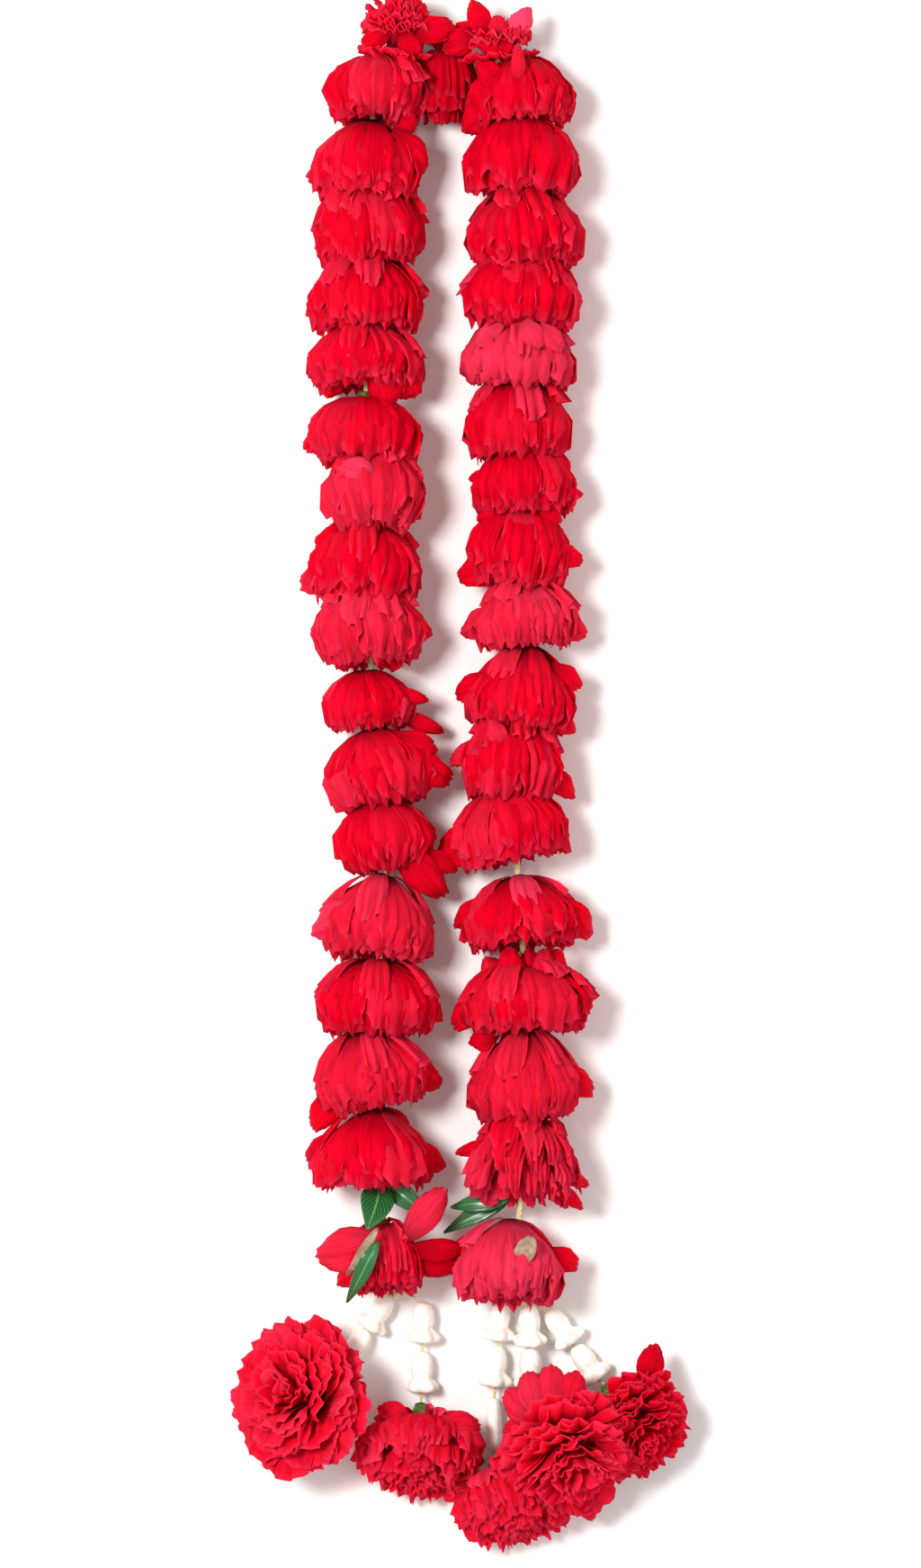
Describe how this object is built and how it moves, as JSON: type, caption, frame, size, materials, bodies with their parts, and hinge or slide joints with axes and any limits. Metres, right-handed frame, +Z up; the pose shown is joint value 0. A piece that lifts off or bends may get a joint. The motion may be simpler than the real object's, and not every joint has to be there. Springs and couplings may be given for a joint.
{
  "type": "fresh flower lei",
  "caption": "Long narrow flower lei laid flat: red carnations threaded close together on a looped cord, with tucked leaves and a tassel of white crown flowers and fuller carnations",
  "frame": {"origin": "on the table that the lei lies on, under the middle of its box", "axes": "+Z up from the table; +Y along the strands towards the closed top of the loop, the tassel is at -Y; +X to the right as seen from above"},
  "size_m": [0.2128, 0.7275, 0.0597],
  "materials": {
    "carnation_petals": "thin soft frilled petals, satin crimson red with pinker patches, darker between the rows; green calyx at the base",
    "crown_flower_wax": "thick waxy cream-white flower crowns",
    "leaf_green": "glossy fresh green leaf with a pale midrib",
    "cotton_cord": "twisted cream-yellow cotton cord"
  },
  "bodies": {
    "root": {"left_bloom_01": "carnation_petals", "left_bloom_02": "carnation_petals", "left_bloom_03": "carnation_petals", "left_bloom_04": "carnation_petals", "left_bloom_05": "carnation_petals", "left_bloom_06": "carnation_petals", "left_bloom_07": "carnation_petals", "left_bloom_08": "carnation_petals", "left_bloom_09": "carnation_petals", "left_bloom_10": "carnation_petals", "left_bloom_11": "carnation_petals", "left_bloom_12": "carnation_petals", "left_bloom_13": "carnation_petals", "left_bloom_14": "carnation_petals", "left_bloom_15": "carnation_petals", "left_bloom_16": "carnation_petals", "left_bloom_17": "carnation_petals", "left_bloom_18": "carnation_petals", "right_bloom_01": "carnation_petals", "right_bloom_02": "carnation_petals", "right_bloom_03": "carnation_petals", "right_bloom_04": "carnation_petals", "right_bloom_05": "carnation_petals", "right_bloom_06": "carnation_petals", "right_bloom_07": "carnation_petals", "right_bloom_08": "carnation_petals", "right_bloom_09": "carnation_petals", "right_bloom_10": "carnation_petals", "right_bloom_11": "carnation_petals", "right_bloom_12": "carnation_petals", "right_bloom_13": "carnation_petals", "right_bloom_14": "carnation_petals", "right_bloom_15": "carnation_petals", "right_bloom_16": "carnation_petals", "right_bloom_17": "carnation_petals", "right_bloom_18": "carnation_petals", "throat_bloom": "carnation_petals", "tassel_bloom_a": "carnation_petals", "tassel_bloom_b": "carnation_petals", "tassel_bloom_c": "carnation_petals", "tassel_bloom_d": "carnation_petals", "tassel_bloom_e": "carnation_petals", "crown_a1": "crown_flower_wax", "crown_a2": "crown_flower_wax", "crown_b1": "crown_flower_wax", "crown_b2": "crown_flower_wax", "crown_c1": "crown_flower_wax", "crown_c2": "crown_flower_wax", "crown_c3": "crown_flower_wax", "crown_d1": "crown_flower_wax", "crown_d2": "crown_flower_wax", "crown_e1": "crown_flower_wax", "crown_e2": "crown_flower_wax", "leaf_left_upper": "leaf_green", "leaf_left_inner": "leaf_green", "leaf_right_upper": "leaf_green", "leaf_right_lower": "leaf_green", "cord": "cotton_cord"}
  },
  "joints": []
}
